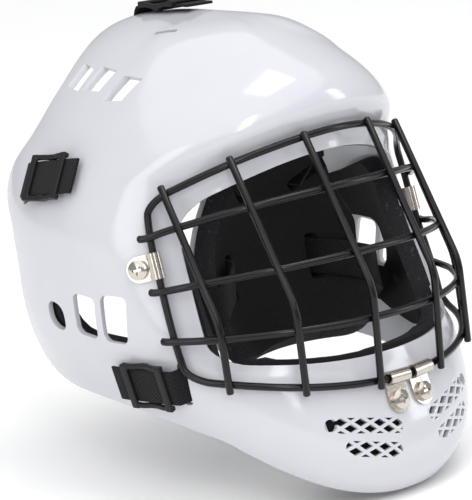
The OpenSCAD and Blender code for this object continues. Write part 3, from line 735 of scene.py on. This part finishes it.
# ---------------------------------------------------------------------------
# Clips, screws and nuts: nickel-plated sheet folded round the rim wire and
# held to the bowl by cross-head screws with a nut behind the wall.
# ---------------------------------------------------------------------------
def nickel(name, colour, rough):
    """Plated metal: warm, with fine rubbing marks that dull the shine."""
    material, tree, shader = new_material(name)
    shader.inputs["Metallic"].default_value = 1.0
    wear = add_node(tree, "ShaderNodeGroup", node_tree=marks)
    wear.inputs["Size"].default_value = 160.0
    wear.inputs["Scuffs"].default_value = 0.8
    tint = add_node(tree, "ShaderNodeMix", data_type="RGBA")
    tint.inputs["A"].default_value = (*colour, 1)
    tint.inputs["B"].default_value = (*[c * 0.82 for c in colour], 1)
    tree.links.new(wear.outputs["Clouds"], tint.inputs["Factor"])
    tree.links.new(tint.outputs["Result"], shader.inputs["Base Color"])
    dull = add_node(tree, "ShaderNodeMapRange")
    dull.inputs["To Min"].default_value = rough
    dull.inputs["To Max"].default_value = rough + 0.2
    tree.links.new(wear.outputs["Scratches"], dull.inputs["Value"])
    tree.links.new(dull.outputs["Result"], shader.inputs["Roughness"])
    bump = add_node(tree, "ShaderNodeBump", Strength=0.1, Distance=0.0002)
    tree.links.new(wear.outputs["Scratches"], bump.inputs["Height"])
    tree.links.new(bump.outputs["Normal"], shader.inputs["Normal"])
    return material


clip_nickel = nickel("nickel clip", (0.62, 0.57, 0.51), 0.2)
screw_nickel = nickel("nickel screw", (0.66, 0.61, 0.55), 0.16)
for name in ("side_clip_right", "side_clip_left", "chin_clip_right", "chin_clip_left"):
    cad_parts[name].data.materials.clear()
    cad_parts[name].data.materials.append(clip_nickel)
for name in ("clip_screws", "clip_nuts"):
    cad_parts[name].data.materials.clear()
    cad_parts[name].data.materials.append(screw_nickel)

# ---------------------------------------------------------------------------
# Lining pads: 11 mm closed-cell foam, die-cut, so the skin is dark and smooth
# and the cut edges are greyer with open cells. They are glued to the bowl.
# ---------------------------------------------------------------------------
def foam(name, colour, fleck, cells, depth):
    """Foam with fine cells; fleck is the colour of the cells' bright rims."""
    material, tree, shader = new_material(name)
    shader.inputs["Specular IOR Level"].default_value = 0.25
    where = add_node(tree, "ShaderNodeTexCoord")
    cell = add_node(tree, "ShaderNodeTexVoronoi", Scale=cells)
    tree.links.new(where.outputs["Object"], cell.inputs["Vector"])
    cloud = add_node(tree, "ShaderNodeTexNoise", Scale=cells * 0.35, Detail=3.0)
    tree.links.new(where.outputs["Object"], cloud.inputs["Vector"])
    speck = add_node(tree, "ShaderNodeMapRange")
    speck.inputs["From Min"].default_value = 0.62
    speck.inputs["From Max"].default_value = 0.78
    tree.links.new(cloud.outputs["Fac"], speck.inputs["Value"])
    tint = add_node(tree, "ShaderNodeMix", data_type="RGBA")
    tint.inputs["A"].default_value = (*colour, 1)
    tint.inputs["B"].default_value = (*fleck, 1)
    tree.links.new(speck.outputs["Result"], tint.inputs["Factor"])
    tree.links.new(tint.outputs["Result"], shader.inputs["Base Color"])
    matt = add_node(tree, "ShaderNodeMapRange")
    matt.inputs["To Min"].default_value = 0.7
    matt.inputs["To Max"].default_value = 0.95
    tree.links.new(cell.outputs["Distance"], matt.inputs["Value"])
    tree.links.new(matt.outputs["Result"], shader.inputs["Roughness"])
    bump = add_node(tree, "ShaderNodeBump", Strength=depth, Distance=0.0005)
    tree.links.new(cell.outputs["Distance"], bump.inputs["Height"])
    tree.links.new(bump.outputs["Normal"], shader.inputs["Normal"])
    return material


foam_skin = foam("black foam skin", (0.006, 0.006, 0.0065), (0.013, 0.013, 0.014), 1400.0, 0.3)
foam_cut = foam("cut foam edge", (0.02, 0.02, 0.023), (0.09, 0.09, 0.1), 1100.0, 0.7)
pad_out, pad_t = -4.3, 11.0


def pad(name, node, outline, rings, place, holes=()):
    """A die-cut pad: a sheet inside its outline, given thickness, holed, edges eased."""
    round_edge = 0.0012
    piece = ringed_disc(name, outline, rings, place)
    piece.data.materials.append(foam_skin)
    piece.data.materials.append(foam_cut)
    finish_with(piece, "SOLIDIFY", thickness=pad_t * mm, offset=-1, material_offset_rim=1)
    for hole in holes:
        hole.data.materials.append(foam_skin)
        hole.data.materials.append(foam_cut)
        for face in hole.data.polygons:
            face.material_index = 1
        cut(piece, hole)
    finish_with(piece, "BEVEL", width=round_edge, segments=3, limit_method="ANGLE",
                angle_limit=math.radians(50))
    only(piece)
    bpy.ops.object.shade_smooth_by_angle(angle=math.radians(35))
    if node:
        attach(piece, "mask")
        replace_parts(piece, node)
    return piece


def inside_bowl(a, r):
    return on_bowl(a, r, pad_out)


forehead_line = filled(corner_patch(-40, 40, 8.15, 9.75, 6, 0.4, 5), 3, 0.3)
pad("forehead_foam", "forehead_pad", forehead_line, 8, inside_bowl)
crown_turns = [math.radians(k * 5) for k in range(72)]
crown_line = [(36 * math.cos(t), 8 + 42 * math.sin(t)) for t in crown_turns]


def under_crown(x, y):
    """A point under the crown above x, y (mm)."""
    reach = math.hypot(x / 46, (y - 5) / 52)
    return Vector((x, y, 162 - 4.6 - 14 * reach ** 2)) * mm


pad("crown_foam", "crown_pad", crown_line, 8, under_crown)
side_line = [
    (-52.5, 6.7), (-62, 7.3), (-74, 7.4), (-88, 7.1), (-99, 6.6), (-106, 6.05), (-109, 5.4), (-105, 4.8),
    (-98, 4.4), (-89, 3.95), (-78, 3.55), (-66, 3.6), (-57, 4.2), (-53.6, 4.85), (-52, 5.7),
]
smooth_side = [tuple(along_line(side_line, k / 8, closed=True)) for k in range(len(side_line) * 8)]
ear_hole = prism("ear_hole", obround(66, 33), -40, 30, frame_at(-87, 5.28))
side_right = pad("side_foam_right", "side_pad_right", smooth_side, 12, inside_bowl, [ear_hole])
side_left = mirrored(side_right)
side_left.name = "side_foam_left"
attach(side_left, "mask")
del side_left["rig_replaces"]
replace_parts(side_left, "side_pad_left")
chin_line = filled(corner_patch(-50.5, 50.5, 2.3, 4.72, 8, 0.4, 5), 3, 0.3)
pad("chin_foam", "chin_pad", chin_line, 10, inside_bowl)

# ---------------------------------------------------------------------------
# Back plate: a 3 mm cupped plate of the same white plastic with five strap
# slots, lined with black foam. It hangs on the straps behind the head.
# ---------------------------------------------------------------------------
plate_y, plate_z, plate_r, plate_thick = -18, 35, 95, 3


def on_cup(x, z, radius):
    """A point of a cupped sheet of this radius, from x and z in mm."""
    return Vector((x, plate_y - plate_r + math.sqrt(radius ** 2 - x * x - (z - plate_z) ** 2), z)) * mm


def hull_line(circles):
    """The outline that hugs some circles (x, z, radius), counter-clockwise."""
    steps = 48
    turns = [2 * math.pi * k / steps for k in range(steps)]
    points = sorted({(round(x + r * math.cos(t), 4), round(z + r * math.sin(t), 4))
                     for x, z, r in circles for t in turns})
    halves = []
    for row in (points, points[::-1]):
        chain = []
        for p in row:
            while len(chain) > 1 and ((chain[-1][0] - chain[-2][0]) * (p[1] - chain[-2][1])
                                      - (chain[-1][1] - chain[-2][1]) * (p[0] - chain[-2][0])) <= 0:
                chain.pop()
            chain.append(p)
        halves += chain[:-1]
    return halves


def plate_line(inset):
    lobes = ((32, 3, 26), (38, 35, 20), (18, 75, 18))
    circles = [(s * x, z, r - inset) for s in (-1, 1) for x, z, r in lobes]
    return filled(hull_line(circles), 4, 4)


def plate_slot(x, z, tilt, grow):
    turn = Matrix.Rotation(math.radians(90), 4, "X") @ Matrix.Rotation(math.radians(tilt), 4, "Z")
    shape = rounded_box(4.5 + grow, 23 + grow, 1.8)
    return prism("plate_slot", shape, -70, 70, Matrix.Translation(Vector((x, plate_y, z)) * mm) @ turn)


slots_at = [(0, 84, 90)] + [(s * 32, 20, 0) for s in (-1, 1)] + [(s * 27, 70, -s * 50) for s in (-1, 1)]
plate = ringed_disc("back_plate_shell", plate_line(0), 10, lambda x, z: on_cup(x, z, plate_r - plate_thick))
finish_with(plate, "SOLIDIFY", thickness=plate_thick * mm, offset=-1)
for x, z, tilt in slots_at:
    cut(plate, plate_slot(x, z, tilt, 0))
finish_with(plate, "BEVEL", width=0.0008, segments=3, limit_method="ANGLE", angle_limit=math.radians(50))
only(plate)
bpy.ops.object.shade_smooth_by_angle(angle=math.radians(35))
plate_plastic = gloss_plastic("white plate plastic", (0.6, 0.605, 0.64), (0.55, 0.555, 0.59), 0.26)
plate.data.materials.append(plate_plastic)
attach(plate, "back_plate")
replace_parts(plate, "back_plate")

foam_r = plate_r - plate_thick - 0.4 - pad_t
back_foam = pad("back_foam", None, plate_line(4), 12, lambda x, z: on_cup(x, z, foam_r),
                [plate_slot(x, z, tilt, 3) for x, z, tilt in slots_at])
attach(back_foam, "back_plate")
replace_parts(back_foam, "back_pad")

# ---------------------------------------------------------------------------
# Straps: 20 mm black elastic webbing with a fine diagonal rib. Outside, each
# lies through its buckle; inside, it runs from its slot to the back plate.
# ---------------------------------------------------------------------------
webbing, tree, shader = new_material("black elastic webbing")
shader.inputs["Sheen Weight"].default_value = 0.06
shader.inputs["Sheen Roughness"].default_value = 0.5
shader.inputs["Specular IOR Level"].default_value = 0.15
where = add_node(tree, "ShaderNodeTexCoord")
lay_flat = add_node(tree, "ShaderNodeMapping")
lay_flat.inputs["Rotation"].default_value = (0, 0, math.radians(52))
tree.links.new(where.outputs["UV"], lay_flat.inputs["Vector"])
twill = add_node(tree, "ShaderNodeTexWave", wave_type="BANDS", Scale=0.23, Distortion=0.6, Detail=1.0)
twill.inputs["Detail Scale"].default_value = 2.0
tree.links.new(lay_flat.outputs["Vector"], twill.inputs["Vector"])
picks = add_node(tree, "ShaderNodeTexWave", wave_type="BANDS", Scale=0.5, Distortion=0.4)
tree.links.new(where.outputs["UV"], picks.inputs["Vector"])
weave = add_node(tree, "ShaderNodeMix", data_type="FLOAT")
weave.inputs["Factor"].default_value = 0.25
tree.links.new(twill.outputs["Fac"], weave.inputs["A"])
tree.links.new(picks.outputs["Fac"], weave.inputs["B"])
yarn = add_node(tree, "ShaderNodeMix", data_type="RGBA")
yarn.inputs["A"].default_value = (0.002, 0.002, 0.002, 1)
yarn.inputs["B"].default_value = (0.016, 0.016, 0.018, 1)
tree.links.new(weave.outputs["Result"], yarn.inputs["Factor"])
tree.links.new(yarn.outputs["Result"], shader.inputs["Base Color"])
fuzz = add_node(tree, "ShaderNodeMapRange")
fuzz.inputs["To Min"].default_value = 0.9
fuzz.inputs["To Max"].default_value = 0.62
tree.links.new(weave.outputs["Result"], fuzz.inputs["Value"])
tree.links.new(fuzz.outputs["Result"], shader.inputs["Roughness"])
bump = add_node(tree, "ShaderNodeBump", Strength=0.7, Distance=0.0005)
tree.links.new(weave.outputs["Result"], bump.inputs["Height"])
tree.links.new(bump.outputs["Normal"], shader.inputs["Normal"])
web_w, web_t = 20.0, 1.6


def band(name, stops):
    """A flat band through stops of (point in mm, direction across), with a map in mm."""
    steps = 8
    points, across = [s[0] for s in stops], [s[1] for s in stops]
    spans = len(stops) - 1
    bpy.ops.object.select_all(action="DESELECT")
    bpy.ops.mesh.primitive_grid_add(x_subdivisions=spans * steps, y_subdivisions=8, size=2, calc_uvs=True)
    piece = bpy.context.object
    piece.name = name
    line = [Vector(along_line(points, k / steps)) for k in range(spans * steps + 1)]
    run = [0.0]
    for p, q in zip(line, line[1:]):
        run.append(run[-1] + (q - p).length)
    chart = piece.data.uv_layers.active.data
    for loop in piece.data.loops:
        spot = piece.data.vertices[loop.vertex_index].co
        chart[loop.index].uv = (run[round((spot.x + 1) / 2 * spans * steps)], spot.y * web_w / 2)
    for v in piece.data.vertices:
        k = round((v.co.x + 1) / 2 * spans * steps)
        ahead = (line[min(k + 1, len(line) - 1)] - line[max(k - 1, 0)]).normalized()
        over = Vector(along_line(across, k / steps))
        over = (over - ahead * over.dot(ahead)).normalized()
        edge = 1 - 0.012 * abs(v.co.y) ** 8
        v.co = (line[k] + over * v.co.y * edge * web_w / 2) * mm
    finish_with(piece, "SOLIDIFY", thickness=web_t * mm, offset=0)
    finish_with(piece, "BEVEL", width=0.0004, segments=2, limit_method="ANGLE", angle_limit=math.radians(50))
    only(piece)
    bpy.ops.object.shade_smooth_by_angle(angle=math.radians(40))
    piece.data.materials.append(webbing)
    return piece


def outer_stops(which, ends):
    """Stops of a strap outside the bowl, in mm, from its cut end to its slot."""
    place = frame_at(*strap_places[which])
    over = place.to_3x3() @ Vector((0, 1, 0))
    line = [(-24, 2.7), (-18.5, 3), (-9, 3), (0, 3), (9, 3), (17.5, 3)] + ends
    return [(place @ Vector((x * mm, 0, z * mm)) / mm, over) for x, z in line]


outer = {
    "top": outer_stops("top", [(20.5, 1.8), (22.3, -2), (23, -8)]),
    "upper": outer_stops("upper", [(21, 1.8), (23.5, -2.5), (24.5, -9)]),
    "lower": outer_stops("lower", [(20, 1.8), (22.3, -2.5), (23, -8)]),
}


def cup_depth(x, z):
    return on_cup(x, z, plate_r).y / mm


top_y, upper_y, lower_y = cup_depth(0, 84), cup_depth(27, 70), cup_depth(32, 20)
lean = (math.sin(math.radians(50)), 0, -math.cos(math.radians(50)))
drape = (0.4, -0.3, -1)
upper_frame = frame_at(*strap_places["upper"])
upper_over = upper_frame.to_3x3() @ Vector((0, 1, 0))
inner = {
    "top": [((0, y, z), (-1, 0, 0))
            for y, z in ((53, 147), (34, 126), (-8, 102), (top_y + 3, 84), (top_y - 16, 84))],
    "upper": [(upper_frame @ Vector((0.021, 0, -0.016)) / mm, upper_over), ((-72, 24, 76), drape),
              ((-46, 0, 73), drape), ((-27, upper_y + 5, 70), lean), ((-27, upper_y - 16, 70), lean)],
    "lower": [((-86, -60, -13), (0, 0.2, 1)), ((-89, -45, -9), (0, 0.2, 1)), ((-85, -37, -6), (0, 0.1, 1)),
              ((-74, -50, 4), (0.2, 0, 1)), ((-56, lower_y - 35, 14), (0.1, 0, 1)),
              ((-40, lower_y - 26, 19), (0, 0, 1)), ((-32, lower_y - 17, 20), (0, 0, 1)),
              ((-32, lower_y - 5, 20), (0, 0, 1)), ((-32, lower_y + 6, 20), (0, 0, 1))],
}


def flipped(stops):
    """The same stops on the other side of the mask."""
    return [((-p[0], p[1], p[2]), (-d[0], d[1], d[2])) for p, d in stops]


for which, side, node in (
        ("top", 1, "top_strap"), ("upper", 1, "upper_strap_right"), ("upper", -1, "upper_strap_left"),
        ("lower", 1, "lower_strap_right"), ("lower", -1, "lower_strap_left")):
    outside = [(tuple(p), tuple(d)) for p, d in outer[which]]
    inside = [(tuple(p), tuple(d)) for p, d in [outer[which][-1]] + inner[which]]
    if side < 0:
        outside, inside = flipped(outside), flipped(inside)
    tail = band(node + "_outside", outside)
    run = band(node + "_inside", inside)
    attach(tail, "mask")
    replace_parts(tail, node)
    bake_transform(run)
    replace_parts(run, node)

# ---------------------------------------------------------------------------
# Buckles: moulded black nylon ladder frames. The webbing passes over the
# middle bar and under both end bars, and the side rails dip between them.
# ---------------------------------------------------------------------------
nylon, tree, shader = new_material("black nylon")
shader.inputs["Base Color"].default_value = (0.009, 0.009, 0.01, 1)
shader.inputs["Specular IOR Level"].default_value = 0.3
where = add_node(tree, "ShaderNodeTexCoord")
grain = add_node(tree, "ShaderNodeTexNoise", Scale=1500.0, Detail=2.0)
tree.links.new(where.outputs["Object"], grain.inputs["Vector"])
matt = add_node(tree, "ShaderNodeMapRange")
matt.inputs["To Min"].default_value = 0.42
matt.inputs["To Max"].default_value = 0.62
tree.links.new(grain.outputs["Fac"], matt.inputs["Value"])
tree.links.new(matt.outputs["Result"], shader.inputs["Roughness"])
bump = add_node(tree, "ShaderNodeBump", Strength=0.25, Distance=0.0003)
tree.links.new(grain.outputs["Fac"], bump.inputs["Height"])
tree.links.new(bump.outputs["Normal"], shader.inputs["Normal"])
buckle_l, rail_w = 30.0, 3.0
rail_y = web_w / 2 + 0.3 + rail_w / 2
rail_lift, rail_dip, rail_ripple, dip_half = 0.72, 1.2, 0.16, 9


def block(low, high):
    """A plain block between two corners in mm, the start of one bar of the frame."""
    bpy.ops.object.select_all(action="DESELECT")
    bpy.ops.mesh.primitive_cube_add(size=1, location=[(p + q) / 2 * mm for p, q in zip(low, high)])
    bar = bpy.context.object
    bar.scale = [(q - p) * mm for p, q in zip(low, high)]
    set_down(bar)
    return bar


bars = []
for s in (-1, 1):
    middle = s * (buckle_l / 2 - 2.5)
    bars.append(block((middle - 2.3, -rail_y - 1.4, 4.1), (middle + 2.3, rail_y + 1.4, 6.2)))
    rail = block((-buckle_l / 2 + 0.6, s * rail_y - 1.4, 2.0), (buckle_l / 2 - 0.6, s * rail_y + 1.4, 4.6))
    bpy.ops.object.mode_set(mode="EDIT")
    bpy.ops.mesh.select_all(action="SELECT")
    bpy.ops.mesh.subdivide(number_cuts=14)
    bpy.ops.object.mode_set(mode="OBJECT")
    for v in rail.data.vertices:
        along = v.co.x / mm
        dip = rail_dip * math.cos(along / buckle_l * 2 * math.pi) ** 2 if abs(along) < dip_half else 0
        v.co.z += (rail_lift - dip + rail_ripple * math.cos(along * 0.7)) * mm
    bars.append(rail)
bars.append(block((-2.4, -rail_y - 1.0, 0.5), (2.4, rail_y + 1.0, 1.85)))
ladder = join(bars, "ladder")
finish_with(ladder, "REMESH", mode="VOXEL", voxel_size=0.00045)
finish_with(ladder, "SMOOTH", factor=0.6, iterations=6)
only(ladder)
bpy.ops.object.shade_smooth()
ladder.data.materials.append(nylon)
for node, which, side in (
        ("top_buckle", "top", 1), ("upper_buckle_right", "upper", 1), ("upper_buckle_left", "upper", -1),
        ("lower_buckle_right", "lower", 1), ("lower_buckle_left", "lower", -1)):
    only(ladder)
    bpy.ops.object.duplicate()
    piece = bpy.context.object
    piece.name = node + "_frame"
    piece.data.transform(frame_at(*strap_places[which]))
    if side < 0:
        turned = mirrored(piece)
        bpy.data.objects.remove(piece)
        piece = turned
        piece.name = node + "_frame"
    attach(piece, node)
    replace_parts(piece, node)
bpy.data.objects.remove(ladder)
